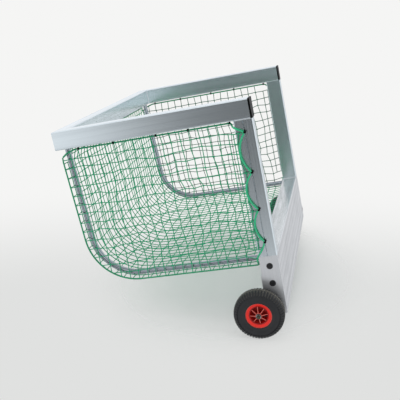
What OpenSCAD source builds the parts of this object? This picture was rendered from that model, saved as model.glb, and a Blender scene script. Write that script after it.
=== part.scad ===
// Portable small-sided hockey goal: welded aluminium frame, ballast box, two transport wheels
// and a knotless net that hangs over two bent hoops.
// Standing on its base: mouth towards -Y, +Z up, origin under the middle of the whole goal.
// Millimetres.

/* [Goal frame] */
// Overall width across the two posts
goal_w = 1700; // [1300:10:2400]
// Overall height of the frame
goal_h = 1070; // [900:10:1400]
// Width of the post and crossbar profile, seen from the front
post_w = 80; // [70:1:100]
// Depth of the post and crossbar profile, front to back
post_d = 100; // [80:1:120]
// Wall thickness of the frame profiles
wall = 3; // [2.5:0.5:4]
// Outer corner radius of the frame profiles
corner_r = 5; // [4:0.5:8]
// Thickness of the black cap under each post
cap_t = 10; // [6:1:14]
// How far the foot cap's spigot reaches up into the post
cap_in = 25; // [15:1:40]

/* [Net groove] */
// Width of the groove's open mouth
groove_w = 6; // [5:0.5:8]
// Width of the groove behind its lips
groove_in = 13; // [11:0.5:16]
// Depth of the groove behind its lips
groove_deep = 7; // [5:0.5:9]
// Thickness of the groove's lips
lip_t = 2.5; // [2:0.5:4]
// Diameter of the round opening where hooks enter the base bar's groove
entry_d = 11; // [9:0.5:12]

/* [Base] */
// Length of each base bar, from the post to the ballast box
bar_len = 730; // [500:10:900]
// Width of the base bars
bar_w = 60; // [50:1:80]
// Height of the base bars and of the ballast box
bar_h = 100; // [90:1:120]
// Depth of the ballast box, front to back
box_d = 330; // [300:5:400]
// Wall thickness of the ballast box
box_wall = 4; // [3:0.5:6]
// Thickness of the two webs inside the ballast box
web_t = 3; // [2:0.5:5]
// Thickness of the plates that close the ballast box
plate_t = 6; // [4:0.5:8]
// Diameter of the access holes in the end plates
access_d = 30; // [20:1:36]
// Distance of the first access hole behind the box's front face
access_y = 55; // [40:1:60]
// Distance between the two access holes
access_gap = 97; // [60:1:110]
// Width of each steel ballast bar
ballast_w = 80; // [50:1:90]
// Height of each steel ballast bar
ballast_h = 40; // [20:1:70]
// Length of each steel ballast bar
ballast_len = 1300; // [600:10:1400]

/* [Net hoops] */
// Outer diameter of the hoop tube
hoop_d = 30; // [25:1:34]
// Wall thickness of the hoop tube
hoop_wall = 2; // [1.5:0.5:3]
// Bend radius of the hoop, to the middle of the tube
hoop_r = 240; // [150:5:300]
// Angle by which the top run falls towards the back
hoop_fall = 1.75; // [0:0.25:6]
// Distance from the box's front face back to the hoop's leg
leg_back = 25; // [24:1:60]
// Side of the square plate that carries each hoop end
hoop_plate = 44; // [40:1:50]
// Thickness of the plate that carries each hoop end
hoop_plate_t = 5; // [3:0.5:8]
// Length of the spigot inside each hoop end
spigot_len = 45; // [30:1:60]
// Clearance between a spigot and the bore of the tube, on the radius
spigot_gap = 0.2; // [0.1:0.05:0.5]

/* [Net] */
// Mesh pitch of the net
mesh = 45; // [40:1:80]
// Thickness of the net's strands
strand = 4; // [2:0.5:5]
// Diameter of the border rope
rope_d = 8; // [6:0.5:10]
// Diameter of the seam cord along each hoop
seam_d = 6; // [4:0.5:8]
// Distance at which the net hangs clear of the hoop tube
net_gap = 12; // [1:0.5:16]
// Height over the base bar at which a side net starts to flare out to the bar's outer face
flare_up = 55; // [45:5:90]
// Length of the sloping flap of net between the crossbar's rope and the roof net
flap_in = 70; // [50:5:100]
// Clearance between the edge of a net panel and the rope beside it
edge_gap = 0.3; // [0.2:0.1:1]
// Distance from a grooved face to the middle of the rope
rope_out = 13; // [11:0.5:20]
// Height of the rope's middle over the top of the ballast box
rope_up = 10; // [10:0.5:16]
// Thickness of the plastic net hooks
hook_t = 9; // [4:0.5:12]
// Wall of the hook's curl round the rope
hook_wall = 3; // [2:0.5:4]

/* [Wheels] */
// Outer diameter of the tyre
tyre_d = 272; // [250:2:276]
// Width of the tyre
tyre_w = 86; // [74:1:90]
// Depth of the tread grooves
tread_t = 4; // [3:0.5:6]
// Number of tread blocks in each row round the tyre
tread_n = 40; // [16:1:44]
// Diameter of the rim's flanges
rim_d = 140; // [134:1:144]
// Diameter of the bead seats
bead_d = 102; // [100:1:104]
// Width of the rim over its flanges
rim_w = 62; // [56:1:64]
// Number of ribs on each side of the rim
rib_n = 8; // [6:1:10]
// Thickness of the rim's ribs
rib_t = 3; // [2:0.5:6]
// Outer diameter of the hub
hub_d = 34; // [33:1:42]
// Length of the hub
hub_len = 74; // [68:1:78]
// Diameter of the axle where the wheel turns
axle_d = 20; // [16:0.5:22]
// Height of the axle over the ground
axle_z = 140; // [139:1:156]
// Distance from the box's rear face forward to the axle
axle_in = 40; // [36:1:60]
// Distance from the frame's side face out to the middle of the wheel
wheel_out = 58; // [57:1:70]
// Wall of the plain bearing in the hub
bush_wall = 3; // [2:0.5:4]
// Length of each plain bearing
bush_len = 24; // [16:1:30]
// Running clearance of the axle in its bearings, on the radius
run_gap = 0.06; // [0.02:0.01:0.1]
// Thickness of the axle bracket's plates
bracket_t = 6; // [5:0.5:8]
// Diameter of the bolts that hold the axle bracket
bolt_d = 10; // [8:1:12]

/* [Hidden] */
$fn = 64;
eps = 0.5;

alu = "#c9ccd0";
black = "#202224";
green = "#2aa876";
steel = "#8f9498";
zinc = "#b9bdc2";
red = "#d8281e";

half_w = goal_w / 2;
tyre_r = tyre_d / 2;
axle_back = box_d - axle_in;

// Places along Y, from the front face back
front_y = -(post_d + bar_len + axle_back + tyre_r) / 2;
back_of_post = front_y + post_d;
box_y = back_of_post + bar_len;
axle_y = box_y + axle_back;

// The frame's grooves lie in the middle of their faces
groove_x = half_w - post_w / 2;
bar_top_z = goal_h - post_w / 2;
groove_wall = wall;

// The net lies this far outside the middle of the hoop tube
rope_r = rope_d / 2;
hoop_or = hoop_d / 2;
net_off = hoop_or + rope_r + net_gap;
hoop_x = groove_x - net_off;
hoop_z = bar_top_z;
hoop_y = back_of_post + hoop_plate_t;
leg_y = box_y + leg_back;
hoop_run = (leg_y - hoop_r + hoop_r * sin(hoop_fall) - hoop_y) / cos(hoop_fall);
bend_y = leg_y - hoop_r;
bend_z = hoop_z - hoop_run * sin(hoop_fall) - hoop_r * cos(hoop_fall);

// Where the rope and the net's edges run
rope_y = back_of_post + rope_out;
ground_x = half_w + rope_out;
ground_z = bar_h / 2;
rear_y = leg_y + net_off;
rear_z = bar_h + rope_up;
hem = rope_r + edge_gap;

// Hooks were slid along their grooves by hand, so their places are not quite even
post_hook_z = [for (share = [0.117, 0.322, 0.486, 0.707, 0.893]) share * goal_h];
bar_hook_x = [for (share = [-0.353, -0.188, 0, 0.188, 0.353]) share * goal_w];
base_hook_y = [for (share = [0.084, 0.37, 0.643, 0.885]) share * bar_len];
box_hook_x = [for (share = [-0.412, -0.247, -0.082, 0.082, 0.247, 0.412]) share * goal_w];
// The rope starts to turn this far past the middle of a hook
hook_lead = hook_t / 2 + 6;

// Wheel
wheel_x = half_w + wheel_out;
bush_or = axle_d / 2 + run_gap + bush_wall;
flange_t = 2;
hub_gap = 0.3;
hub_face = hub_len / 2 + flange_t;
washer_t = 3;
collar_x = half_w + bracket_t;
nut_h = 11;
nut_af = 19;
thread_d = 12;

// ---------------------------------------------------------------- helpers

// A thing is drawn for the right-hand side and mirrored for the left
module on_side(side) {
    if (side < 0) mirror([1, 0, 0]) children();
    else children();
}

// Rectangle with round corners, centred
module round_rect(w, d, r) {
    square([w - 2 * r, d], center = true);
    square([w, d - 2 * r], center = true);
    for (x = [-1, 1], y = [-1, 1])
        translate([x * (w / 2 - r), y * (d / 2 - r)]) circle(r, $fn = 32);
}

// Material that surrounds the net groove inside a profile, groove in the +Y face
module groove_boss(d, grow = 0) {
    boss_w = groove_in + 2 * groove_wall + 2 * grow;
    boss_d = lip_t + groove_deep + groove_wall + grow;
    translate([-boss_w / 2, d / 2 - boss_d]) square([boss_w, boss_d]);
}

// Hollow profile with a net groove in the middle of its +Y face
module grooved_profile(w, d) {
    difference() {
        round_rect(w, d, corner_r);
        difference() {
            round_rect(w - 2 * wall, d - 2 * wall, max(corner_r - wall, 1));
            groove_boss(d);
        }
        translate([-groove_in / 2, d / 2 - lip_t - groove_deep]) square([groove_in, groove_deep]);
        translate([-groove_w / 2, d / 2 - lip_t - eps]) square([groove_w, lip_t + 2 * eps]);
    }
}

function unit(v) = v / norm(v);

// Directions at the points of a line: along the bisector at each corner. A closed line has its
// first point again at the end.
function along(p, closed) = let (last = len(p) - 1) [for (i = [0:last])
    let (a = i > 0 ? unit(p[i] - p[i - 1]) : closed ? unit(p[0] - p[last - 1]) : unit(p[1] - p[0]),
         b = i < last ? unit(p[i + 1] - p[i]) : closed ? unit(p[1] - p[0]) : a)
        unit(a + b)];

// Sideways vectors carried along the line without twist
function carried(dirs, i, side) =
    let (s = unit(side - (side * dirs[i]) * dirs[i]))
        i == len(dirs) - 1 ? [s] : concat([s], carried(dirs, i + 1, s));

// How much a ring at point `i` widens towards the bisector of its corner, as a mitre does
function widened(w, p, i, closed) =
    let (last = len(p) - 1, has_in = i > 0 || closed, has_out = i < last || closed)
        !(has_in && has_out) ? w :
            let (a = unit(p[i] - p[i > 0 ? i - 1 : last - 1]), b = unit(p[(i % last) + 1] - p[i % last]),
                 m = a - b)
                norm(m) < 0.001 ? w : w + (2 / norm(a + b) - 1) * (w * unit(m)) * unit(m);

// Cord of diameter `d` along a line of points that starts off square to `side`
module cord(p, d, side, closed = false, sides = 12) {
    dirs = along(p, closed);
    u = carried(dirs, 0, side);
    rings = closed ? len(p) - 1 : len(p);
    points = [for (i = [0:rings - 1], k = [0:sides - 1]) let (a = 360 * k / sides)
        p[i] + widened(d / 2 * (cos(a) * u[i] + sin(a) * cross(dirs[i], u[i])), p, i, closed)];
    walls = [for (i = [0:(closed ? rings : rings - 1) - 1], k = [0:sides - 1])
        let (a = i * sides + k, b = i * sides + (k + 1) % sides, c = (a + sides) % len(points),
             e = (b + sides) % len(points))
            each [[a, c, b], [b, c, e]]];
    ends = closed ? [] : [[for (k = [0:sides - 1]) k],
                          [for (k = [sides - 1:-1:0]) (rings - 1) * sides + k]];
    polyhedron(points, concat(walls, ends));
}

// ---------------------------------------------------------------- frame

// Wedge that leaves a mitred end: below the diagonal for the crossbar, above it for a post
module mitre_wedge(keep_post) {
    in_x = half_w - post_w - post_w / 2;
    in_z = goal_h - post_w - post_w / 2;
    out_x = half_w + post_w / 2;
    out_z = goal_h + post_w / 2;
    translate([0, front_y + post_d + eps, 0]) rotate([90, 0, 0]) linear_extrude(post_d + 2 * eps)
        polygon(keep_post ? [[in_x, in_z], [out_x, out_z], [in_x, out_z]]
                          : [[in_x, in_z], [out_x, in_z], [out_x, out_z]]);
}

module post(side) {
    color(alu) on_side(side) difference() {
        translate([groove_x, front_y + post_d / 2, cap_t])
            linear_extrude(goal_h - cap_t) grooved_profile(post_w, post_d);
        mitre_wedge(true);
    }
}

module crossbar() {
    color(alu) difference() {
        translate([-half_w, front_y + post_d / 2, bar_top_z])
            rotate([0, 90, 0]) linear_extrude(goal_w) grooved_profile(post_w, post_d);
        for (side = [-1, 1]) on_side(side) mitre_wedge(false);
    }
}

// Plug in the open foot of a post: a flange on the ground and a hollow spigot inside
module foot_cap(side) {
    fit = 0.3;
    spigot_w = post_w - 2 * wall - 2 * fit;
    spigot_d = post_d - 2 * wall - 2 * fit;
    spigot_wall = 3;
    inner_r = max(corner_r - wall, 1);
    color(black) on_side(side) translate([groove_x, front_y + post_d / 2, 0]) {
        linear_extrude(cap_t) round_rect(post_w, post_d, corner_r);
        translate([0, 0, cap_t - eps]) linear_extrude(cap_in + eps) difference() {
            round_rect(spigot_w, spigot_d, inner_r);
            square([spigot_w - 2 * spigot_wall, spigot_d - 2 * spigot_wall], center = true);
            groove_boss(post_d + 2 * eps, fit + eps);
        }
    }
}

// Bar on the ground, flush with the post's outer face, net groove outwards
module base_bar(side) {
    color(alu) on_side(side) translate([half_w - bar_w / 2, back_of_post, bar_h / 2]) difference() {
        rotate([0, -90, -90]) linear_extrude(bar_len) grooved_profile(bar_h, bar_w);
        for (y = [entry_d, bar_len - entry_d])
            translate([bar_w / 2 - lip_t - eps, y, 0]) rotate([0, 90, 0])
                cylinder(d = entry_d, h = lip_t + 2 * eps, $fn = 32);
    }
}

// ---------------------------------------------------------------- ballast box

chamber = (box_d - 2 * box_wall - 2 * web_t) / 3;

module ballast_box() {
    color(alu) translate([-(half_w - plate_t), box_y, 0]) rotate([90, 0, 90])
        linear_extrude(goal_w - 2 * plate_t) difference() {
            translate([box_d / 2, bar_h / 2]) round_rect(box_d, bar_h, corner_r);
            for (i = [0:2])
                translate([box_wall + i * (chamber + web_t), box_wall])
                    square([chamber, bar_h - 2 * box_wall]);
        }
}

// Places of the bracket bolts, from the axle, along Y and Z
ear_low = 34;
bolt_low = ear_low + 12 - axle_z;
bolt_high = bar_h - 22 - axle_z;
bolt_ys = [-30, 16];

module bolt_places() {
    for (y = bolt_ys, z = [bolt_low, bolt_high]) translate([0, axle_y + y, axle_z + z]) children();
}

module end_plate(side) {
    color(alu) on_side(side) difference() {
        translate([half_w - plate_t, box_y + box_d / 2, bar_h / 2]) rotate([90, 0, 90])
            linear_extrude(plate_t) round_rect(box_d, bar_h, corner_r);
        for (i = [0, 1])
            translate([half_w - plate_t - eps, box_y + access_y + i * access_gap, bar_h / 2])
                rotate([0, 90, 0]) cylinder(d = access_d, h = plate_t + 2 * eps);
        bolt_places() translate([half_w - plate_t - eps, 0, 0]) rotate([0, 90, 0])
            cylinder(d = bolt_d, h = plate_t + 2 * eps, $fn = 32);
    }
}

// Push-in plug: a flat head with a dished middle and a hollow stem
module access_plugs(side) {
    fit = 0.1;
    head_r = access_d / 2 + 2.3;
    head_t = 3;
    stem_r = access_d / 2 - fit;
    stem_l = plate_t + 6;
    color(black) on_side(side) for (i = [0, 1])
        translate([half_w, box_y + access_y + i * access_gap, bar_h / 2]) rotate([0, 90, 0])
            rotate_extrude() polygon([
                [0, -1.5], [stem_r - 3, -1.5], [stem_r - 3, -stem_l], [stem_r, -stem_l], [stem_r, 0],
                [head_r, 0], [head_r, head_t - 1.5], [head_r - 1.5, head_t],
                [head_r * 0.62, head_t], [head_r * 0.55, head_t - 1.2], [0, head_t - 1.2]
            ]);
}

// Steel counterweights on the floor of the front and rear chambers
module ballast_bars() {
    color(steel) for (i = [0, 2])
        translate([-ballast_len / 2,
                   box_y + box_wall + i * (chamber + web_t) + (chamber - ballast_w) / 2, box_wall])
            cube([ballast_len, ballast_w, ballast_h]);
}

// ---------------------------------------------------------------- hoops

module ring(r_out, r_in) {
    difference() {
        circle(r_out);
        circle(r_in);
    }
}

// Solid bar of radius `r` along the hoop: top run, bend, leg, each end longer by `more`.
// The bend is slightly fuller than the straight runs, which end just inside it.
module hoop_bar(r, more) {
    foot_z = bar_h + hoop_plate_t - more;
    lap = 1;
    fuller = 0.25;
    translate([hoop_x, hoop_y, hoop_z]) rotate([-90 - hoop_fall, 0, 0]) rotate([0, 0, -90])
        translate([0, 0, -more]) cylinder(r = r, h = hoop_run + more + lap);
    translate([hoop_x, bend_y, bend_z]) rotate([90, 0, 90])
        rotate_extrude(angle = 90 - hoop_fall) translate([hoop_r, 0]) circle(r + fuller);
    translate([hoop_x, leg_y, foot_z]) rotate([0, 0, 90]) cylinder(r = r, h = bend_z + lap - foot_z);
}

// One bent tube, its front end cut square against the upright plate
module net_hoop(side) {
    color(alu) on_side(side) difference() {
        hoop_bar(hoop_or, 1);
        hoop_bar(hoop_or - hoop_wall, 2);
        hoop_screw_places() screw_hole();
        translate([hoop_x - hoop_d, hoop_y - hoop_d, hoop_z - hoop_d])
            cube([2 * hoop_d, hoop_d, 2 * hoop_d]);
        translate([hoop_x - hoop_d, leg_y - hoop_d, bar_h + hoop_plate_t - hoop_d])
            cube([2 * hoop_d, 2 * hoop_d, hoop_d]);
    }
}

screw_d = 6;
module hoop_screw_places() {
    translate([hoop_x, hoop_y, hoop_z]) rotate([-hoop_fall, 0, 0]) translate([0, spigot_len / 2, 0])
        children();
    translate([hoop_x, leg_y, bar_h + hoop_plate_t + spigot_len / 2]) children();
}

// Radial hole on the tube's inner side
module screw_hole() {
    rotate([0, -90, 0]) cylinder(d = screw_d + 0.4, h = hoop_d, $fn = 32);
}

// Plates welded to the top corner and to the box, each with a spigot for the tube
module hoop_plates(side) {
    spigot_r = hoop_or - hoop_wall - spigot_gap;
    color(alu) on_side(side) difference() {
        union() {
            translate([hoop_x - hoop_plate / 2, back_of_post, hoop_z - hoop_plate / 2])
                cube([hoop_plate, hoop_plate_t, hoop_plate]);
            translate([hoop_x, hoop_y - eps, hoop_z]) rotate([-90 - hoop_fall, 0, 0])
                cylinder(r = spigot_r, h = spigot_len);
            translate([hoop_x - hoop_plate / 2, leg_y - hoop_plate / 2, bar_h])
                cube([hoop_plate, hoop_plate, hoop_plate_t]);
            translate([hoop_x, leg_y, bar_h + hoop_plate_t - eps]) cylinder(r = spigot_r, h = spigot_len);
        }
        hoop_screw_places() screw_hole();
    }
}

// Button-head screws that pin each tube end on its spigot
module hoop_screws() {
    color(zinc) for (side = [-1, 1]) on_side(side) hoop_screw_places() rotate([0, -90, 0]) {
        translate([0, 0, 3]) cylinder(d = screw_d, h = hoop_or - 2.5, $fn = 32);
        translate([0, 0, hoop_or + 0.2]) rotate_extrude($fn = 32)
            polygon([[0, 0], [5.5, 0], [5.5, 1], [4, 3], [0, 3.3]]);
    }
}

// ---------------------------------------------------------------- net

net_w = 2 * (groove_x - hem);
net_r = hoop_r + net_off;
first_hook_y = back_of_post + base_hook_y[0];
last_hook_y = back_of_post + base_hook_y[len(base_hook_y) - 1];

// Height of a line that lies `off` outside the hoop's top run
function roof_line(y, off) =
    hoop_z + off * cos(hoop_fall) - (y - hoop_y - off * sin(hoop_fall)) * tan(hoop_fall);

// Rectangle of net: knotted strands with square meshes between them
module flat_net(w, h) {
    difference() {
        square([w, h]);
        intersection() {
            translate([strand, strand]) square([w - 2 * strand, h - 2 * strand]);
            for (i = [0:ceil(w / mesh)], j = [0:ceil(h / mesh)])
                translate([strand + i * mesh, strand + j * mesh]) square(mesh - strand);
        }
    }
}

// Strip of net that runs back from y0 to y1, its width going from [x, z] a to b, and clear of
// what it meets along its edge at a
module net_strip(a, b, y0, y1) {
    v = b - a;
    clear = strand / 2 + edge_gap;
    translate([a[0], y0, a[1]]) rotate([0, atan2(v[0], v[1]), 0]) rotate([90, 0, 90])
        translate([0, clear]) linear_extrude(strand, center = true)
            flat_net(y1 - y0, norm(v) - clear);
}

// Outline of a side net in the Y-Z plane, drawn in from its ropes by `inset`
side_low_z = bar_h + flare_up;
side_corner_y = last_hook_y + 0.9 * flare_up;
function bend_points(r, steps = 12) =
    [for (i = [0:steps]) let (a = i * (90 - hoop_fall) / steps)
        [bend_y + r * cos(a), bend_z + r * sin(a)]];
function side_outline(inset) = concat(
    [[rope_y + inset, side_low_z + inset], [last_hook_y + inset, side_low_z + inset],
     [side_corner_y + inset, rear_z + inset], [rear_y - inset, rear_z + inset]],
    bend_points(net_r - inset),
    [[rope_y + inset, roof_line(rope_y + inset, net_off - inset)]]);

module side_panel() {
    difference() {
        polygon(side_outline(hem));
        intersection() {
            polygon(side_outline(hem + strand));
            for (i = [0:ceil((rear_y - rope_y) / mesh)], j = [-1:ceil((roof_line(rope_y, 0)) / mesh)])
                translate([rope_y + hem + strand + i * mesh, side_low_z + hem + strand + j * mesh])
                    square(mesh - strand);
        }
    }
}

// The panel hangs in line with the post's groove, then flares out over the base bar to the rope
// that is hooked into the bar's outer face
module side_net(side) {
    panel_foot = [groove_x, side_low_z + hem];
    bar_edge = [ground_x, bar_h + rope_r + edge_gap + strand];
    color(green) on_side(side) {
        translate([groove_x, 0, 0]) rotate([90, 0, 90])
            linear_extrude(strand, center = true) side_panel();
        net_strip(panel_foot, bar_edge, first_hook_y, last_hook_y);
        net_strip(bar_edge, [ground_x, ground_z + hem], first_hook_y, last_hook_y);
    }
}

// Roof: a flap that rises from the crossbar's rope, then a flat panel on the hoops' top runs
module roof_net() {
    flap_y = rope_y + flap_in;
    flap_from = [rope_y + hem, bar_top_z];
    flap_to = [flap_y, roof_line(flap_y, net_off)];
    flap = flap_to - flap_from;
    flap_w = 2 * (rope_in_x - hem);
    run = (bend_y + net_r * sin(hoop_fall) - flap_y) / cos(hoop_fall);
    color(green) {
        translate([-flap_w / 2, flap_from[0], flap_from[1]]) rotate([atan2(flap[1], flap[0]), 0, 0])
            linear_extrude(strand, center = true) flat_net(flap_w, norm(flap) + strand / 2);
        translate([-net_w / 2, flap_to[0], flap_to[1]]) rotate([-hoop_fall, 0, 0])
            linear_extrude(strand, center = true) flat_net(net_w, run);
    }
}

// The same panel where it turns down over the hoops' bends, straight from knot to knot
module bend_net() {
    turn = 90 - hoop_fall;
    rows = round(net_r * turn * PI / 180 / mesh);
    row_a = turn / rows;
    over = strand / 2;
    columns = floor((net_w - 2 * strand) / mesh);
    mid_r = net_r * cos(row_a / 2);
    reach = net_r * sin(row_a / 2);
    color(green) translate([-net_w / 2, bend_y, bend_z]) rotate([90, 0, 90]) {
        for (j = [0:rows]) rotate([0, 0, j * row_a])
            translate([net_r - over, j == 0 ? 0 : j == rows ? -strand : -over, 0])
                cube([strand, strand, net_w]);
        for (j = [0:rows - 1]) rotate([0, 0, (j + 0.5) * row_a])
            for (x = concat([for (i = [0:columns]) i * mesh], [net_w - strand]))
                translate([mid_r - over + 0.4, -reach + 0.5, x])
                    cube([strand - 0.8, 2 * reach - 1, strand]);
    }
}

module rear_net() {
    low = rear_z + hem;
    color(green) translate([-net_w / 2, rear_y, low]) rotate([90, 0, 0])
        linear_extrude(strand, center = true) flat_net(net_w, bend_z - low);
}

// One rope round the whole edge: rear corner, base bar, post, over the hoop, crossbar
rope_in_x = hoop_x - net_off;
rope_side = [
    [groove_x, rear_y, rear_z],
    [half_w + rope_r + 3, box_y + 5, bar_h + rope_r + 2],
    [ground_x, last_hook_y + hook_lead, ground_z],
    [ground_x, first_hook_y - hook_lead, ground_z],
    [half_w + rope_r + 3, (first_hook_y - hook_lead + rope_y) / 2, bar_h + rope_r + 2],
    [groove_x, rope_y, post_hook_z[0] - hook_lead],
    [groove_x, rope_y, roof_line(rope_y, net_off)],
    [rope_in_x, rope_y, roof_line(rope_y, net_off)],
    [rope_in_x, rope_y, bar_top_z]
];

module border_rope() {
    mirrored = [for (i = [len(rope_side) - 1:-1:0])
        [-rope_side[i][0], rope_side[i][1], rope_side[i][2]]];
    start = [0, rear_y, rear_z];
    color(green) cord(concat([start], rope_side, mirrored, [start]), rope_d, [0, 0, 1], closed = true);
}

// Cord that joins side panel and roof along the outer side of the hoop
module seam_cord(side) {
    first = rope_y + rope_r + edge_gap;
    steps = 12;
    bend = [for (i = [steps:-1:0]) let (a = i * (90 - hoop_fall) / steps)
        [groove_x, bend_y + net_r * cos(a), bend_z + net_r * sin(a)]];
    color(green) on_side(side) cord(concat(
        [[groove_x, first, roof_line(first, net_off)]], bend,
        [[groove_x, rear_y, rear_z + rope_r + edge_gap]]), seam_d, [1, 0, 0]);
}

// ---------------------------------------------------------------- net hooks

// Open ring round a rope that runs along Z, its middle at the origin. The mouth, where the net's
// edge leaves, faces the angle `mouth`.
module curl(mouth = 90) {
    inner = rope_r + edge_gap;
    open_a = 80;
    translate([0, 0, -hook_t / 2]) rotate([0, 0, mouth + open_a / 2])
        rotate_extrude(angle = 360 - open_a) translate([inner, 0]) square([hook_wall, hook_t]);
}

// Hook in a groove: the groove's face is y = 0 and the groove runs along Z
module groove_hook(mouth = 90) {
    neck_w = groove_w - 0.6;
    foot_d = groove_deep - 1;
    neck_end = rope_out - rope_r - edge_gap - hook_wall / 2;
    neck_t = hook_t - 1;
    translate([-(groove_in - 1) / 2, -lip_t - foot_d, -hook_t])
        cube([groove_in - 1, foot_d, 2 * hook_t]);
    translate([-neck_w / 2, -lip_t - 1, -neck_t / 2]) cube([neck_w, lip_t + 1 + neck_end, neck_t]);
    translate([0, rope_out, 0]) curl(mouth);
}

module post_hooks(side) {
    color(black) on_side(side) for (z = post_hook_z)
        translate([groove_x, back_of_post, z]) groove_hook();
}

module crossbar_hooks() {
    color(black) for (x = bar_hook_x)
        translate([x, back_of_post, bar_top_z]) rotate([0, 90, 0]) groove_hook();
}

module base_hooks(side) {
    color(black) on_side(side) for (y = base_hook_y)
        translate([half_w, back_of_post + y, ground_z]) rotate([0, -90, -90])
            groove_hook(0);
}

// Hooks on flat feet that stand on the ballast box
module box_hooks() {
    foot_t = 2.5;
    foot_w = 14;
    foot_l = 26;
    neck_t = hook_t - 1;
    color(black) for (x = box_hook_x) translate([x, rear_y, bar_h]) {
        translate([-foot_l / 2, -foot_w / 2, 0]) cube([foot_l, foot_w, foot_t]);
        translate([-neck_t / 2, -2.5, 0]) cube([neck_t, 5, rope_up - rope_r - edge_gap - 0.5]);
        translate([0, 0, rope_up]) rotate([90, 0, 90]) curl();
    }
}

// ---------------------------------------------------------------- wheel carriers

boss_r = 30;
ear_front = 45;
foot_front = 186;
foot_in = 50;
gusset_y = 24;
gusset_h = axle_z - bar_h + 14;

// Plate bolted on the end of the box that stands up to the axle, with a foot on top of the box
// and two gussets
module axle_bracket(side) {
    low = ear_low - axle_z;
    top = bar_h - axle_z;
    corner = [-ear_front, top];
    // the straight edges run into the round boss just inside its rim
    in_r = 0.98 * boss_r;
    touch_a = atan2(corner[1], corner[0]) - acos(in_r / norm(corner));
    color(zinc) on_side(side) difference() {
        union() {
            translate([half_w, axle_y, axle_z]) rotate([90, 0, 90]) linear_extrude(bracket_t) {
                circle(boss_r);
                polygon([[-ear_front, low], [in_r, low], [in_r, 0],
                         [in_r * cos(touch_a), in_r * sin(touch_a)], corner]);
            }
            translate([half_w - foot_in, axle_y - foot_front, bar_h])
                cube([foot_in, foot_front + in_r, bracket_t]);
            translate([half_w - bracket_t, axle_y - ear_front, bar_h])
                cube([1.5 * bracket_t, ear_front + in_r, bracket_t]);
            for (y = [-1, 1])
                translate([half_w, axle_y + y * gusset_y + bracket_t / 2, bar_h])
                    rotate([90, 0, 0]) linear_extrude(bracket_t)
                        polygon([[bracket_t / 2, bracket_t / 2], [bracket_t / 2, gusset_h],
                                 [-bracket_t, gusset_h], [5 - foot_in, bracket_t],
                                 [5 - foot_in, bracket_t / 2]]);
        }
        translate([half_w - foot_in, axle_y, axle_z]) rotate([0, 90, 0])
            cylinder(d = axle_d, h = foot_in + 2 * bracket_t);
        bolt_places() translate([half_w - eps, 0, 0]) rotate([0, 90, 0])
            cylinder(d = bolt_d, h = bracket_t + 2 * eps, $fn = 32);
    }
}

// Button-head bolts through the bracket into the end plate
module bracket_bolts(side) {
    head_r = bolt_d * 0.85;
    head_t = bolt_d / 2;
    socket_af = bolt_d * 0.6;
    color(zinc) on_side(side) bolt_places() translate([collar_x, 0, 0]) rotate([0, 90, 0]) {
        translate([0, 0, -bracket_t - plate_t - 4])
            cylinder(d = bolt_d, h = bracket_t + plate_t + 4 + eps, $fn = 32);
        difference() {
            rotate_extrude($fn = 32)
                polygon([[0, 0], [head_r, 0], [head_r, head_t * 0.3], [head_r * 0.6, head_t], [0, head_t]]);
            translate([0, 0, head_t / 2]) cylinder(d = socket_af, h = head_t, $fn = 6);
        }
    }
}

// Stub axle: head inside the bracket, collar outside it, journal, threaded end
inner_washer_t = 2.5;
module axle(side) {
    head_t = 8;
    collar_end = wheel_out - bracket_t - hub_face - hub_gap - inner_washer_t;
    journal_end = wheel_out - bracket_t + hub_face + hub_gap;
    thread_end = journal_end + washer_t + nut_h + 3;
    r = axle_d / 2;
    color(steel) on_side(side) translate([collar_x, axle_y, axle_z]) rotate([0, 90, 0])
        rotate_extrude() polygon([
            [0, -bracket_t - head_t], [r + 6, -bracket_t - head_t], [r + 6, -bracket_t],
            [r, -bracket_t], [r, 0], [r + 5, 0], [r + 5, collar_end], [r, collar_end],
            [r, journal_end], [thread_d / 2, journal_end], [thread_d / 2, thread_end - 1.5],
            [thread_d / 2 - 1.5, thread_end], [0, thread_end]
        ]);
}

module washer(r_in, r_out, t) {
    linear_extrude(t) ring(r_out, r_in);
}

module axle_washers(side) {
    color(zinc) on_side(side) translate([half_w + wheel_out, axle_y, axle_z]) rotate([0, 90, 0]) {
        translate([0, 0, hub_face + hub_gap]) washer(thread_d / 2 + 0.2, thread_d + 1, washer_t);
        translate([0, 0, -hub_face - hub_gap - inner_washer_t])
            washer(axle_d / 2 + 0.2, axle_d / 2 + 7, inner_washer_t);
    }
}

// Hexagon lock nut with its round collar
module axle_nut(side) {
    color(zinc) on_side(side)
        translate([half_w + wheel_out + hub_face + hub_gap + washer_t, axle_y, axle_z])
            rotate([0, 90, 0]) difference() {
                union() {
                    intersection() {
                        cylinder(d = nut_af / cos(30), h = nut_h - 3, $fn = 6);
                        rotate_extrude() polygon([[0, 0], [nut_af / 2 + 0.6, 0],
                            [nut_af / 2 + 1.9, 1], [nut_af / 2 + 1.9, nut_h - 4],
                            [nut_af / 2, nut_h - 3], [0, nut_h - 3]]);
                    }
                    cylinder(d = nut_af - 3, h = nut_h);
                }
                translate([0, 0, -eps]) cylinder(d = thread_d, h = nut_h + 2 * eps);
            }
}

// ---------------------------------------------------------------- wheels

valve_z = 8;
valve_a = 180 / rib_n;
valve_d = 8;
valve_out = 12;
press_gap = 0.05;

module at_wheel(side) {
    on_side(side) translate([wheel_x, axle_y, axle_z]) rotate([0, 90, 0]) children();
}

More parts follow.
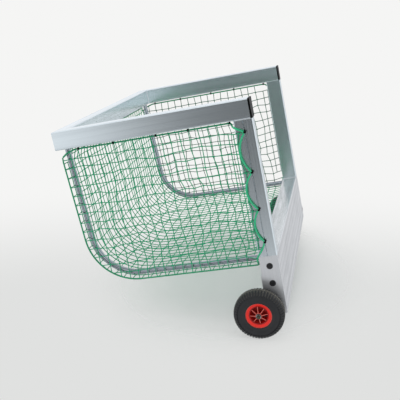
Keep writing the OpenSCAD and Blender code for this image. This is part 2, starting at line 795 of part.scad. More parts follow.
// Plastic rim: the barrel with its two flanges and bead seats
bead_r = bead_d / 2;
well_r = bead_r - 6;
barrel_wall = 3.5;
barrel_in = well_r - barrel_wall;
module rim(side) {
    rf = rim_d / 2;
    hw = rim_w / 2;
    color(red) at_wheel(side) difference() {
        rotate_extrude() for (m = [0, 1]) mirror([0, m]) polygon([
            [rf, hw], [rf, hw - 3], [bead_r, hw - 5.5], [bead_r, 14], [well_r, 9], [well_r, 0],
            [barrel_in, 0], [barrel_in, 10], [bead_r - barrel_wall, 16],
            [bead_r - 3, hw - 7], [rf - 6, hw]
        ]);
        rotate([0, 0, valve_a]) translate([barrel_in - 3, 0, valve_z]) rotate([0, 90, 0])
            cylinder(d = valve_d + 1, h = barrel_wall + 12, $fn = 32);
    }
}

// Centre that is pressed into the rim: hub, web and the ribs on both sides
module wheel_centre(side) {
    hub_r = hub_d / 2;
    hub_end = hub_len / 2;
    web = 3;
    reach = barrel_in - press_gap;
    color(red) at_wheel(side) union() {
        rotate_extrude() for (m = [0, 1]) mirror([0, m]) {
            polygon([[bush_or, 0], [bush_or, hub_end], [hub_r - 1, hub_end],
                     [hub_r, hub_end - 1], [hub_r, 0]]);
            polygon([[hub_r - 1, 0], [hub_r - 1, web], [reach, web], [reach, 0]]);
        }
        for (i = [0:rib_n - 1]) rotate([0, 0, i * 360 / rib_n]) rotate([90, 0, 0])
            linear_extrude(rib_t, center = true) polygon([for (m = [1, -1]) each
                let (half = [
                    [hub_r - 2, hub_end - 4], [bead_r - 4, rim_w / 2 - 9],
                    [bead_r - barrel_wall - 0.7, 16], [reach - 0.2, 10]
                ]) [for (i = [0:3]) m > 0 ? half[i] : [half[3 - i][0], -half[3 - i][1]]]]);
    }
}

// Two flanged plain bearings pressed into the hub
module bushes(side) {
    bore = axle_d / 2 + run_gap;
    flange_r = hub_d / 2 - 1.5;
    color(black) at_wheel(side) for (m = [0, 1]) mirror([0, 0, m])
        rotate_extrude() polygon([
            [bore, hub_len / 2 - bush_len], [bore, hub_face], [flange_r, hub_face],
            [flange_r, hub_len / 2], [bush_or, hub_len / 2], [bush_or, hub_len / 2 - bush_len]
        ]);
}

// Section of the tyre, radius along X and width along Y
belly_r = tyre_w / 2;
belly_at = tyre_r - tread_t - belly_r + 5;
bead_gap = 0.3;
bead_in = 13;
flange_in = rim_w / 2 - 6;
rim_edge = rim_d / 2 + bead_gap;
// The cavity leaves at least 3 mm of rubber at the edge of the rim's flange
cavity_r = min(belly_r - 11.5, norm([belly_at - rim_edge - 3, flange_in]));
module tyre_section(crown) {
    crown_r = 1.25 * tyre_w;
    difference() {
        intersection() {
            union() {
                translate([belly_at, 0]) circle(belly_r);
                translate([bead_d / 2 + bead_gap, -flange_in])
                    square([belly_at - bead_d / 2, 2 * flange_in]);
            }
            translate([crown - crown_r, 0]) circle(crown_r, $fn = 96);
        }
        translate([belly_at, 0]) circle(cavity_r);
        translate([0, -bead_in]) square([belly_at, 2 * bead_in]);
        for (m = [0, 1]) mirror([0, m])
            translate([0, flange_in]) square([rim_edge, belly_r]);
    }
}

// Carcass with two grooves round it and blocks cut across both shoulders and the middle
module tyre(side) {
    pitch_a = 360 / tread_n;
    cut_w = 2 * PI * tyre_r / tread_n * 0.32;
    row_w = tyre_w * 0.27;
    groove = 5;
    mid = (row_w + groove) / 2;
    module cuts(at, depth, from, to) {
        for (i = [0:tread_n - 1]) rotate([0, 0, (i + at) * pitch_a])
            translate([tyre_r - depth, -cut_w / 2, from]) cube([2 * depth, cut_w, to - from]);
    }
    color("#26282a") at_wheel(side) difference() {
        rotate_extrude($fn = 96) difference() {
            tyre_section(tyre_r);
            for (m = [-1, 1]) translate([tyre_r - tread_t, m * mid - groove / 2])
                square([tread_t * 2, groove]);
        }
        cuts(0.25, tread_t * 1.6, mid, mid + belly_r);
        cuts(0.75, tread_t * 1.6, -mid - belly_r, -mid);
        cuts(0.5, tread_t * 0.9, -mid, mid);
    }
}

// Inner tube with its valve through the rim
module inner_tube(side) {
    tube_r = cavity_r - 0.6;
    tube_wall = 2;
    color("#3a3d40") at_wheel(side) {
        rotate_extrude() translate([belly_at, 0]) ring(tube_r, tube_r - tube_wall);
        rotate([0, 0, valve_a]) translate([barrel_in - valve_out, 0, valve_z]) rotate([0, 90, 0])
            cylinder(d = valve_d, h = belly_at - tube_r + 3 - barrel_in + valve_out, $fn = 32);
    }
}

// ---------------------------------------------------------------- the goal

post(-1);  // left_post
post(1);  // right_post
crossbar();
foot_cap(-1);  // left_foot_cap
foot_cap(1);  // right_foot_cap
base_bar(-1);  // left_base_bar
base_bar(1);  // right_base_bar
ballast_box();
end_plate(-1);  // left_end_plate
end_plate(1);  // right_end_plate
access_plugs(-1);  // left_access_plugs
access_plugs(1);  // right_access_plugs
ballast_bars();
net_hoop(-1);  // left_net_hoop
net_hoop(1);  // right_net_hoop
hoop_plates(-1);  // left_hoop_plates
hoop_plates(1);  // right_hoop_plates
hoop_screws();
side_net(-1);  // left_side_net
side_net(1);  // right_side_net
roof_net();
bend_net();
rear_net();
border_rope();
seam_cord(-1);  // left_seam_cord
seam_cord(1);  // right_seam_cord
post_hooks(-1);  // left_post_hooks
post_hooks(1);  // right_post_hooks
crossbar_hooks();
base_hooks(-1);  // left_base_hooks
base_hooks(1);  // right_base_hooks
box_hooks();
axle_bracket(-1);  // left_axle_bracket
axle_bracket(1);  // right_axle_bracket
bracket_bolts(-1);  // left_bracket_bolts
bracket_bolts(1);  // right_bracket_bolts
axle(-1);  // left_axle
axle(1);  // right_axle
axle_washers(-1);  // left_axle_washers
axle_washers(1);  // right_axle_washers
axle_nut(-1);  // left_axle_nut
axle_nut(1);  // right_axle_nut
rim(-1);  // left_rim
rim(1);  // right_rim
wheel_centre(-1);  // left_wheel_centre
wheel_centre(1);  // right_wheel_centre
bushes(-1);  // left_bushes
bushes(1);  // right_bushes
tyre(-1);  // left_tyre
tyre(1);  // right_tyre
inner_tube(-1);  // left_inner_tube
inner_tube(1);  // right_inner_tube
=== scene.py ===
import math
import random

import bpy
from mathutils import Matrix, Vector, noise


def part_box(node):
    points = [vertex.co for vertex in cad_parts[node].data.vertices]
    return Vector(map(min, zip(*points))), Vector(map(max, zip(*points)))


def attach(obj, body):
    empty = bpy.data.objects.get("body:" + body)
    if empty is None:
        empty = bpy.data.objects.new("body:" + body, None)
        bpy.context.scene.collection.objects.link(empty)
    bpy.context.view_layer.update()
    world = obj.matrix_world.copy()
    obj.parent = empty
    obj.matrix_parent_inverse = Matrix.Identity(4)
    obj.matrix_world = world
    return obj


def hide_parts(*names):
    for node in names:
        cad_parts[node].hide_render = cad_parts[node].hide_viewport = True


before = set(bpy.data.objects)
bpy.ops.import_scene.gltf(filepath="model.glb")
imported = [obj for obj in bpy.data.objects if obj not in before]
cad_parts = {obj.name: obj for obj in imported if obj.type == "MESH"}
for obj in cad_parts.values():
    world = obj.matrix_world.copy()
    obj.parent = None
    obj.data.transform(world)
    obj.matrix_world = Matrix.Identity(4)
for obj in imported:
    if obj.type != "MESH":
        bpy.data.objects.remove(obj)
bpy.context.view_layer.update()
scene = bpy.context.scene
scene.view_settings.view_transform = "Standard"


# ------------------------------------------------------------------ camera
# A viewer stands to the left of the mouth, about 4 m off, while the goal is tipped back on its two
# wheels. The goal is drawn standing, so it is the camera that is turned over here, low and rolled.
right = Vector((0.19179, 0.19568, -0.96173))
down = Vector((-0.28051, 0.94997, 0.13735))
ahead = Vector((0.94049, 0.24343, 0.23709))
lens = bpy.data.cameras.new("camera")
lens.lens = 61.784
lens.sensor_width = 36
lens.clip_end = 60
camera = bpy.data.objects.new("camera", lens)
scene.collection.objects.link(camera)
turned = Matrix((right, -down, -ahead)).transposed().to_4x4()
camera.matrix_world = Matrix.Translation((-4.2089, -1.0201, -0.5000)) @ turned
scene.camera = camera


# ------------------------------------------------------------------ studio
# A white studio. The room's pale grey falls off towards the floor that a tipped goal rolls on, and
# metal sees bright walls with a few dim places between them.
def linear(code):
    """The linear colour that a shader wants for an sRGB hex code."""
    parts = [int(code[i:i + 2], 16) / 255 for i in (1, 3, 5)]
    return [c / 12.92 if c < 0.04045 else ((c + 0.055) / 1.055) ** 2.4 for c in parts] + [1.0]


def node(tree, kind, inputs=None, **settings):
    """Adds one shader node. An input is a plain value or another node's output."""
    made = tree.nodes.new("ShaderNode" + kind)
    for key, value in settings.items():
        setattr(made, key, value)
    for key, value in (inputs or {}).items():
        if isinstance(value, bpy.types.NodeSocket):
            tree.links.new(value, made.inputs[key])
        else:
            made.inputs[key].default_value = value
    return made


tip_down = Vector((0, 0.9799, 0.1994))      # which way is down while the goal is tipped
world = bpy.data.worlds.new("studio")
scene.world = world
world.use_nodes = True
tree = world.node_tree
tree.nodes.clear()
towards = node(tree, "TexCoord").outputs["Generated"]
fall = node(tree, "VectorMath", {0: towards, 1: tip_down}, operation="DOT_PRODUCT").outputs["Value"]
backdrop = node(tree, "MapRange", {"Value": fall, "From Min": 0.26, "From Max": 0.40},
                interpolation_type="SMOOTHSTEP").outputs[0]
pale = node(tree, "Mix", {"Factor": backdrop, 6: linear("#f5f5f4"), 7: linear("#e0e1e0")},
            data_type="RGBA").outputs[2]
level = node(tree, "MapRange", {"Value": fall, "From Min": 0.2, "From Max": 0.8,
                                "To Min": 1.0, "To Max": 0.78}).outputs[0]
# Each dim place: the way to it, the cosines at its edge and at its core, and how dim it is
dim_places = [
    ((-0.990, 0.03, 0.06), 0.930, 0.985, 0.88),
    ((-0.952, 0.25, 0.18), 0.984, 0.996, 0.35),
    ((0.62, 0.76, 0.16), 0.85, 0.98, 0.4),
    ((0.95, 0.34, -0.10), 0.90, 0.985, 0.3),
    ((-0.6, 0.7, 0.38), 0.88, 0.98, 0.3),
    ((0.0, -1.0, -0.1), 0.86, 0.985, 0.35),
    ((-0.67, -0.68, -0.34), 0.88, 0.985, 0.4),
    ((0.66, 0.62, -0.42), 0.90, 0.985, 0.4),
]
for place, edge, core, depth in dim_places:
    near = node(tree, "VectorMath", {0: towards, 1: Vector(place).normalized()},
                operation="DOT_PRODUCT").outputs["Value"]
    shade = node(tree, "MapRange", {"Value": near, "From Min": edge, "From Max": core,
                                    "To Min": 1.0, "To Max": 1 - depth},
                 interpolation_type="SMOOTHSTEP").outputs[0]
    level = node(tree, "Math", {0: level, 1: shade}, operation="MULTIPLY").outputs[0]
path = node(tree, "LightPath").outputs
seen = node(tree, "Background", {"Color": pale, "Strength": 1.0}).outputs[0]
mirrored = node(tree, "Background", {"Color": linear("#f9fbff"), "Strength": level}).outputs[0]
filling = node(tree, "Background", {"Color": linear("#f4f6f8"), "Strength": 0.86}).outputs[0]
lit = node(tree, "MixShader", {"Fac": path["Is Glossy Ray"], 1: filling, 2: mirrored}).outputs[0]
both = node(tree, "MixShader", {"Fac": path["Is Camera Ray"], 1: lit, 2: seen}).outputs[0]
node(tree, "OutputWorld", {"Surface": both})

# Two large soft boxes, one over the goal and one before its mouth, aimed at its middle
goal_middle = Vector((0, 0, 0.45))
for name, place, power, size in [("soft_box_above", (-0.9, -0.9, 4.2), 30, 3.0),
                                 ("soft_box_front", (-0.6, -4.4, -0.6), 42, 3.2)]:
    lamp = bpy.data.lights.new(name, "AREA")
    lamp.energy = power
    lamp.shape = "SQUARE"
    lamp.size = size
    box = bpy.data.objects.new(name, lamp)
    scene.collection.objects.link(box)
    aim = (goal_middle - Vector(place)).to_track_quat("-Z", "Y")
    box.matrix_world = Matrix.Translation(place) @ aim.to_matrix().to_4x4()
    box.visible_glossy = False
    box.visible_camera = False


# ------------------------------------------------------------------ floors
# The floor the goal stands on, and the floor under it while it is tipped on its wheels. Each is a
# pale sheet that shows only from above, and the second fades out round the goal.
def floor_sheet(name, colour, fade=None):
    """A painted floor. A fade is the middle and the three radii of what stays to be seen."""
    finish = bpy.data.materials.new(name)
    finish.use_nodes = True
    tree = finish.node_tree
    tree.nodes.clear()
    where = node(tree, "TexCoord").outputs["Object"]
    grain = node(tree, "TexNoise", {"Vector": where, "Scale": 1.3, "Detail": 2.0})
    tone = node(tree, "MapRange", {"Value": grain.outputs["Fac"], "To Min": 0.97, "To Max": 1.03})
    shade = node(tree, "VectorMath", {0: linear(colour)[:3], "Scale": tone.outputs[0]},
                 operation="SCALE").outputs[0]
    sheet = node(tree, "BsdfDiffuse", {"Color": shade}).outputs[0]
    hidden = node(tree, "NewGeometry").outputs["Backfacing"]
    if fade:
        middle, radii = fade
        offset = node(tree, "VectorMath", {0: where, 1: middle}, operation="SUBTRACT").outputs[0]
        scaled = node(tree, "VectorMath", {0: offset, 1: radii}, operation="DIVIDE").outputs[0]
        far = node(tree, "VectorMath", {0: scaled}, operation="LENGTH").outputs["Value"]
        edge = node(tree, "MapRange", {"Value": far, "From Min": 0.2, "From Max": 1.0},
                    interpolation_type="SMOOTHERSTEP").outputs[0]
        hidden = node(tree, "Math", {0: hidden, 1: edge}, operation="MAXIMUM").outputs[0]
    clear = node(tree, "BsdfTransparent").outputs[0]
    mixed = node(tree, "MixShader", {"Fac": hidden, 1: sheet, 2: clear}).outputs[0]
    node(tree, "OutputMaterial", {"Surface": mixed})
    return finish


wheel_floor = Vector((0, 0.6253, 0.1671))   # under the tyres, while they carry the goal
floor_gap = 0.0005                          # keeps a floor off what stands on it
bpy.ops.object.select_all(action="DESELECT")
bpy.ops.mesh.primitive_plane_add(size=14, location=(0, 0, -floor_gap))
standing_floor = bpy.context.object
standing_floor.name = "standing_floor"
bpy.ops.mesh.primitive_plane_add(size=6)
rolling_floor = bpy.context.object
rolling_floor.name = "rolling_floor"
facing_up = (-tip_down).to_track_quat("Z", "X").to_matrix().to_4x4()
rolling_floor.data.transform(Matrix.Translation(wheel_floor + tip_down * 2 * floor_gap) @ facing_up)
standing_floor.data.materials.append(floor_sheet("painted_floor", "#e9e9e8"))
rolling_floor.data.materials.append(
    floor_sheet("hall_floor", "#e3e4e2", ((0.0, 0.62, 0.42), (1.4, 5.0, 1.05))))
for sheet in (standing_floor, rolling_floor):
    sheet.visible_glossy = sheet.visible_diffuse = sheet.visible_shadow = False
    sheet.visible_transmission = False


# ------------------------------------------------------------------ frame profiles
# Posts, crossbar, base bars and ballast box: extruded aluminium with a satin natural finish. The
# press leaves fine die lines along each length, and handling leaves faint darker cloudy marks.
def finish_of(name):
    """A new empty material with its Principled shader: (material, tree, shader)."""
    made = bpy.data.materials.new(name)
    made.use_nodes = True
    tree = made.node_tree
    tree.nodes.clear()
    shader = node(tree, "BsdfPrincipled")
    node(tree, "OutputMaterial", {"Surface": shader.outputs[0]})
    return made, tree, shader


def dress(finish, *names):
    """Gives a material to CAD nodes."""
    for name in names:
        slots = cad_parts[name].data.materials
        slots.clear()
        slots.append(finish)


def link(tree, shader, **inputs):
    """Feeds outputs into the shader's inputs, named with _ for each blank."""
    for key, value in inputs.items():
        tree.links.new(value, shader.inputs[key.replace("_", " ")])


def extruded_aluminium(name, along, pale_tone="#e6eff2", dark_tone="#ced7db"):
    """Satin metal with its die lines along one axis, so that it shines in long soft streaks."""
    made, tree, shader = finish_of(name)
    where = node(tree, "TexCoord").outputs["Object"]
    # Die lines 2 to 3 mm apart, bands 30 mm wide where the die runs hotter, and hand marks 110 mm
    # wide that wiping drew out along the bar
    patterns = []
    for across, lengthwise, detail in ((420.0, 0.9, 3.0), (34.0, 0.35, 2.0), (9.0, 3.0, 4.0)):
        scale = [across] * 3
        scale[along] = lengthwise
        drawn_out = node(tree, "Mapping", {"Vector": where, "Scale": scale}).outputs[0]
        patterns.append(node(tree, "TexNoise", {"Vector": drawn_out, "Scale": 1.0,
                                                "Detail": detail}).outputs["Fac"])
    lines, bands, marks = patterns
    cloud = node(tree, "MapRange", {"Value": marks, "From Min": 0.5, "From Max": 0.8,
                                    "To Max": 0.4}).outputs[0]
    band = node(tree, "MapRange", {"Value": bands, "From Min": 0.35, "From Max": 0.75}).outputs[0]
    streak = node(tree, "Math", {0: band, 1: 0.6, 2: cloud}, operation="MULTIPLY_ADD").outputs[0]
    tone = node(tree, "Mix", {"Factor": streak, 6: linear(pale_tone), 7: linear(dark_tone)},
                data_type="RGBA").outputs[2]
    gloss = node(tree, "MapRange", {"Value": lines, "From Min": 0.3, "From Max": 0.7,
                                    "To Min": 0.17, "To Max": 0.24}).outputs[0]
    gloss = node(tree, "Math", {0: streak, 1: 0.05, 2: gloss}, operation="MULTIPLY_ADD").outputs[0]
    relief = node(tree, "Bump", {"Height": lines, "Strength": 0.05, "Distance": 0.0004}).outputs[0]
    link(tree, shader, Base_Color=tone, Roughness=gloss, Normal=relief)
    shader.inputs["Metallic"].default_value = 1.0
    return made


dress(extruded_aluminium("extruded_aluminium_upright", 2), "left_post", "right_post")
dress(extruded_aluminium("extruded_aluminium_across", 0), "crossbar")
dress(extruded_aluminium("extruded_aluminium_wide", 0, "#eaebec", "#adb0b2"), "ballast_box")
dress(extruded_aluminium("extruded_aluminium_lengthwise", 1), "left_base_bar", "right_base_bar")


# ------------------------------------------------------------------ weld beads
# The frame is welded up by hand with filler wire: each bead is a row of small overlapping scales,
# brighter than the extrusions. Beads lie in the corners where the profiles meet.
def strung(name, runs, thickness, facets):
    """A mesh of round strings through runs of (place, swell) points."""
    curve = bpy.data.curves.new(name, "CURVE")
    curve.dimensions = "3D"
    curve.bevel_depth = thickness / 2
    curve.bevel_resolution = facets
    curve.use_fill_caps = True
    for run in runs:
        line = curve.splines.new("POLY")
        line.points.add(len(run) - 1)
        for point, (place, swell) in zip(line.points, run):
            point.co = (*place, 1.0)
            point.radius = swell
    piece = bpy.data.objects.new(name, curve)
    scene.collection.objects.link(piece)
    bpy.ops.object.select_all(action="DESELECT")
    piece.select_set(True)
    bpy.context.view_layer.objects.active = piece
    bpy.ops.object.convert(target="MESH")
    bpy.ops.object.shade_smooth()
    return bpy.context.object


chance = random.Random(7)
bead_d, half_scale = 0.0045, 0.00125    # each scale of a bead is 2.5 mm long
toe = 0.008                             # a bead stops this short of an open edge


def bead(start, end):
    """One bead of uneven scales: swollen and drawn in by turns."""
    start, end = Vector(start), Vector(end)
    count = max(4, round((end - start).length / half_scale))
    return [(start.lerp(end, i / count), (1.12 if i % 2 else 0.86) * chance.uniform(0.92, 1.08))
            for i in range(count + 1)]


post_low, post_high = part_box("right_post")
bar_low, bar_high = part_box("right_base_bar")
beads = []
for side in (-1, 1):
    outer, inner, bar_inner = side * post_high[0], side * post_low[0], side * bar_low[0]
    back, bar_top = bar_low[1], bar_high[2]
    corner_z = post_high[2] - (post_high[0] - post_low[0])
    beads += [bead((inner, post_low[1] + toe, corner_z), (inner, back - toe, corner_z)),
              bead((outer - side * 0.006, back, bar_top), (bar_inner, back, bar_top)),
              bead((outer, back, 0.010), (outer, back, bar_top - toe)),
              bead((bar_inner, back, toe), (bar_inner, back, bar_top - toe)),
              bead((outer - side * 0.010, bar_high[1], bar_top), (bar_inner, bar_high[1], bar_top)),
              bead((bar_inner, bar_high[1], toe), (bar_inner, bar_high[1], bar_top - toe))]
weld_beads = strung("weld_beads", beads, bead_d, 2)
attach(weld_beads, "frame")
# Filler aluminium, cooled in ripples: bright, and mottled by soot in patches of 17 mm
filler, tree, shader = finish_of("aluminium_filler_bead")
where = node(tree, "TexCoord").outputs["Object"]
soot = node(tree, "TexNoise", {"Vector": where, "Scale": 60.0, "Detail": 3.0}).outputs["Fac"]
tone = node(tree, "Mix", {"Factor": soot, 6: linear("#f2f4f6"), 7: linear("#c4c8cc")},
            data_type="RGBA").outputs[2]
gloss = node(tree, "MapRange", {"Value": soot, "To Min": 0.22, "To Max": 0.42}).outputs[0]
link(tree, shader, Base_Color=tone, Roughness=gloss)
shader.inputs["Metallic"].default_value = 1.0
weld_beads.data.materials.append(filler)


# ------------------------------------------------------------------ net hoops
# Drawn aluminium tube, bent cold and fixed to small plates: smoother and darker than the profiles,
# and greyest in the patches, about 45 mm long, where the bending rollers pressed it.
drawn, tree, shader = finish_of("drawn_aluminium")
where = node(tree, "TexCoord").outputs["Object"]
wear = node(tree, "TexNoise", {"Vector": where, "Scale": 22.0, "Detail": 4.0}).outputs["Fac"]
tone = node(tree, "Mix", {"Factor": wear, 6: linear("#b4bbc1"), 7: linear("#8f979e")},
            data_type="RGBA").outputs[2]
gloss = node(tree, "MapRange", {"Value": wear, "To Min": 0.10, "To Max": 0.24}).outputs[0]
link(tree, shader, Base_Color=tone, Roughness=gloss)
shader.inputs["Metallic"].default_value = 1.0
dress(drawn, "left_net_hoop", "right_net_hoop", "left_hoop_plates", "right_hoop_plates")


# ------------------------------------------------------------------ plates and brackets
# Sawn and laser-cut aluminium plate: end plates and axle brackets. Rolling left a short grain,
# drawn here 3 mm wide so that it shows, and the metal has dulled a little under a pale oxide skin.
plate, tree, shader = finish_of("rolled_aluminium_plate")
where = node(tree, "TexCoord").outputs["Object"]
grain_at = node(tree, "Mapping", {"Vector": where, "Scale": (300.0, 8.0, 300.0)}).outputs[0]
grain = node(tree, "TexNoise", {"Vector": grain_at, "Scale": 1.0, "Detail": 3.0}).outputs["Fac"]
tone = node(tree, "Mix", {"Factor": grain, 6: linear("#ecedee"), 7: linear("#d6d8d9")},
            data_type="RGBA").outputs[2]
gloss = node(tree, "MapRange", {"Value": grain, "To Min": 0.3, "To Max": 0.46}).outputs[0]
link(tree, shader, Base_Color=tone, Roughness=gloss)
shader.inputs["Metallic"].default_value = 0.9
dress(plate, "left_end_plate", "right_end_plate", "left_axle_bracket", "right_axle_bracket")


# ------------------------------------------------------------------ black plastic
# Foot caps and net hooks: injection-moulded polyethylene with carbon black. The mould gave it a
# spark texture of about 1 mm, and it is scuffed paler in patches of 25 mm where it rubs.
black_plastic, tree, shader = finish_of("moulded_black_polyethylene")
where = node(tree, "TexCoord").outputs["Object"]
spark = node(tree, "TexNoise", {"Vector": where, "Scale": 900.0, "Detail": 2.0}).outputs["Fac"]
scuff = node(tree, "TexNoise", {"Vector": where, "Scale": 40.0, "Detail": 4.0}).outputs["Fac"]
scuff_and_highlight = node(tree, "MapRange", {"Value": scuff, "From Min": 0.52, "From Max": 0.75}).outputs[0]
tone = node(tree, "Mix", {"Factor": scuff_and_highlight, 6: linear("#060707"), 7: linear("#101112")},
            data_type="RGBA").outputs[2]
relief = node(tree, "Bump", {"Height": spark, "Strength": 0.25, "Distance": 0.0003}).outputs[0]
gloss = node(tree, "MapRange", {"Value": scuff_and_highlight, "To Min": 0.42, "To Max": 0.62}).outputs[0]
link(tree, shader, Base_Color=tone, Roughness=gloss, Normal=relief)
shader.inputs["Specular IOR Level"].default_value = 0.08
dress(black_plastic, "left_foot_cap", "right_foot_cap", "left_post_hooks", "right_post_hooks",
      "crossbar_hooks", "left_base_hooks", "right_base_hooks", "box_hooks")


# ------------------------------------------------------------------ access plugs
# Pushed into the holes of the end plates: moulded polyamide, smoother than the caps, with a soft
# shine on the rim of the dished head.
glossy_plug, tree, shader = finish_of("moulded_black_polyamide")
where = node(tree, "TexCoord").outputs["Object"]
swirl = node(tree, "TexNoise", {"Vector": where, "Scale": 70.0, "Detail": 3.0}).outputs["Fac"]
tone = node(tree, "Mix", {"Factor": swirl, 6: linear("#0e0f10"), 7: linear("#1c1d1f")},
            data_type="RGBA").outputs[2]
gloss = node(tree, "MapRange", {"Value": swirl, "To Min": 0.22, "To Max": 0.4}).outputs[0]
link(tree, shader, Base_Color=tone, Roughness=gloss)
shader.inputs["Specular IOR Level"].default_value = 0.45
dress(glossy_plug, "left_access_plugs", "right_access_plugs")


# ------------------------------------------------------------------ ballast bars
# Hot-rolled steel bars lie inside the box as the counterweight: dull, with patches of blue-grey
# mill scale about 33 mm wide.
rolled_steel, tree, shader = finish_of("hot_rolled_steel")
where = node(tree, "TexCoord").outputs["Object"]
scale = node(tree, "TexNoise", {"Vector": where, "Scale": 30.0, "Detail": 5.0}).outputs["Fac"]
tone = node(tree, "Mix", {"Factor": scale, 6: linear("#5c5a58"), 7: linear("#3a3b3f")},
            data_type="RGBA").outputs[2]
link(tree, shader, Base_Color=tone)
shader.inputs["Metallic"].default_value = 0.8
shader.inputs["Roughness"].default_value = 0.6
dress(rolled_steel, "ballast_bars")


# ------------------------------------------------------------------ fasteners and axles
# Screws, bolts and washers of zinc-plated steel: cool bright plating with a faint mottle of 6 mm.
# The turned axle stubs and their nuts are yellow-passivated, and dulled by grease and grit.
zinc, tree, shader = finish_of("zinc_plated_steel")
where = node(tree, "TexCoord").outputs["Object"]
mottle = node(tree, "TexNoise", {"Vector": where, "Scale": 160.0, "Detail": 3.0}).outputs["Fac"]
tone = node(tree, "Mix", {"Factor": mottle, 6: linear("#ccd0d4"), 7: linear("#a9adb1")},
            data_type="RGBA").outputs[2]
gloss = node(tree, "MapRange", {"Value": mottle, "To Min": 0.22, "To Max": 0.4}).outputs[0]
link(tree, shader, Base_Color=tone, Roughness=gloss)
shader.inputs["Metallic"].default_value = 1.0
dress(zinc, "hoop_screws", "left_bracket_bolts", "right_bracket_bolts", "left_axle_washers",
      "right_axle_washers")

passivated, tree, shader = finish_of("yellow_passivated_zinc")
where = node(tree, "TexCoord").outputs["Object"]
grease = node(tree, "TexNoise", {"Vector": where, "Scale": 90.0, "Detail": 4.0}).outputs["Fac"]
tone = node(tree, "Mix", {"Factor": grease, 6: linear("#6f6c58"), 7: linear("#3c3a32")},
            data_type="RGBA").outputs[2]
gloss = node(tree, "MapRange", {"Value": grease, "To Min": 0.35, "To Max": 0.55}).outputs[0]
link(tree, shader, Base_Color=tone, Roughness=gloss)
shader.inputs["Metallic"].default_value = 0.9
dress(passivated, "left_axle_nut", "right_axle_nut", "left_axle", "right_axle")


# ------------------------------------------------------------------ rims
# Injection-moulded polypropylene, pillar-box red and glossy, with a flange on each side. The
# flange's outer edge has a painted pale highlight, and the hollow inside it is painted darker as
# shade.
def moulded_red(name, fresh, chalked):
    """Glossy red plastic, paler and darker in the 55 mm swirls in which it filled the mould."""
    made, tree, shader = finish_of(name)
    where = node(tree, "TexCoord").outputs["Object"]
    flow = node(tree, "TexNoise", {"Vector": where, "Scale": 18.0, "Detail": 3.0}).outputs["Fac"]
    tone = node(tree, "Mix", {"Factor": flow, 6: linear(fresh), 7: linear(chalked)},
                data_type="RGBA").outputs[2]
    gloss = node(tree, "MapRange", {"Value": flow, "To Min": 0.28, "To Max": 0.4}).outputs[0]
    link(tree, shader, Roughness=gloss)
    shader.inputs["Specular IOR Level"].default_value = 0.35
    return made, tree, shader, where, tone


wheel_low, wheel_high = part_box("right_tyre")
wheel_x, axle_y, axle_z = ((a + b) / 2 for a, b in zip(wheel_low, wheel_high))
painted_shade_from_r, painted_shade_to_r = 0.0545, 0.0525    # the hollow, painted darker as shade, lies within
highlight_from_r, highlight_to_r = 0.0660, 0.0685


def from_axle(tree, where):
    """Distance out along the axle from the middle of the wheel, and distance from the axle."""
    x, y, z = node(tree, "SeparateXYZ", {0: where}).outputs
    x = node(tree, "Math", {0: x}, operation="ABSOLUTE").outputs[0]
    x = node(tree, "Math", {0: x, 1: wheel_x}, operation="SUBTRACT").outputs[0]
    y = node(tree, "Math", {0: y, 1: axle_y}, operation="SUBTRACT").outputs[0]
    z = node(tree, "Math", {0: z, 1: axle_z}, operation="SUBTRACT").outputs[0]
    spoke = node(tree, "CombineXYZ", {1: y, 2: z}).outputs[0]
    return x, node(tree, "VectorMath", {0: spoke}, operation="LENGTH").outputs["Value"]


flange_red, tree, shader, where, tone = moulded_red("moulded_red_polypropylene",
                                                    "#fc2a1c", "#ea221a")
_, radius = from_axle(tree, where)
# Inside r = 52.5 mm the flange is painted darker red: painted shade in the hollow
inside = node(tree, "MapRange", {"Value": radius, "From Min": painted_shade_from_r,
                                 "From Max": painted_shade_to_r}).outputs[0]
tone = node(tree, "Mix", {"Factor": inside, 6: tone, 7: linear("#a3140d")},
            data_type="RGBA").outputs[2]
# A thin ring at the flange's outer edge is painted pale pink: a painted highlight
scuff_and_highlight = node(tree, "MapRange", {"Value": radius, "From Min": highlight_from_r,
                                 "From Max": highlight_to_r, "To Max": 0.7}).outputs[0]
tone = node(tree, "Mix", {"Factor": scuff_and_highlight, 6: tone, 7: linear("#ff7d6e")},
            data_type="RGBA").outputs[2]
link(tree, shader, Base_Color=tone)
dress(flange_red, "left_rim", "right_rim")


# ------------------------------------------------------------------ wheel centres
# Pressed into the rims: hub, web and eight thin ribs in the same red plastic, painted darker here
# as the shade in the wheel's hollow, with painted highlights on the ribs' outer edges.
web_half, rib_from = 0.006, 0.010       # from the wheel's middle, out along the axle
# A darker red than the flanges': painted shade for the hollow of the wheel
centre_red, tree, shader, where, tone = moulded_red("painted_shade_red_polypropylene",
                                                    "#b8170f", "#8c100b")
aside, _ = from_axle(tree, where)
# Where a rib stands proud of the web and faces out along the axle it is painted pale: a painted
# highlight
depth = node(tree, "Math", {0: aside}, operation="ABSOLUTE").outputs[0]
proud = node(tree, "MapRange", {"Value": depth, "From Min": web_half,
                                "From Max": rib_from}).outputs[0]
facing = node(tree, "SeparateXYZ", {0: node(tree, "NewGeometry").outputs["Normal"]}).outputs[0]
facing = node(tree, "Math", {0: facing}, operation="ABSOLUTE").outputs[0]
facing = node(tree, "MapRange", {"Value": facing, "From Min": 0.3, "From Max": 0.6}).outputs[0]
edge = node(tree, "Math", {0: proud, 1: facing}, operation="MULTIPLY").outputs[0]
tone = node(tree, "Mix", {"Factor": edge, 6: tone, 7: linear("#fb8577")},
            data_type="RGBA").outputs[2]
link(tree, shader, Base_Color=tone)
dress(centre_red, "left_wheel_centre", "right_wheel_centre")

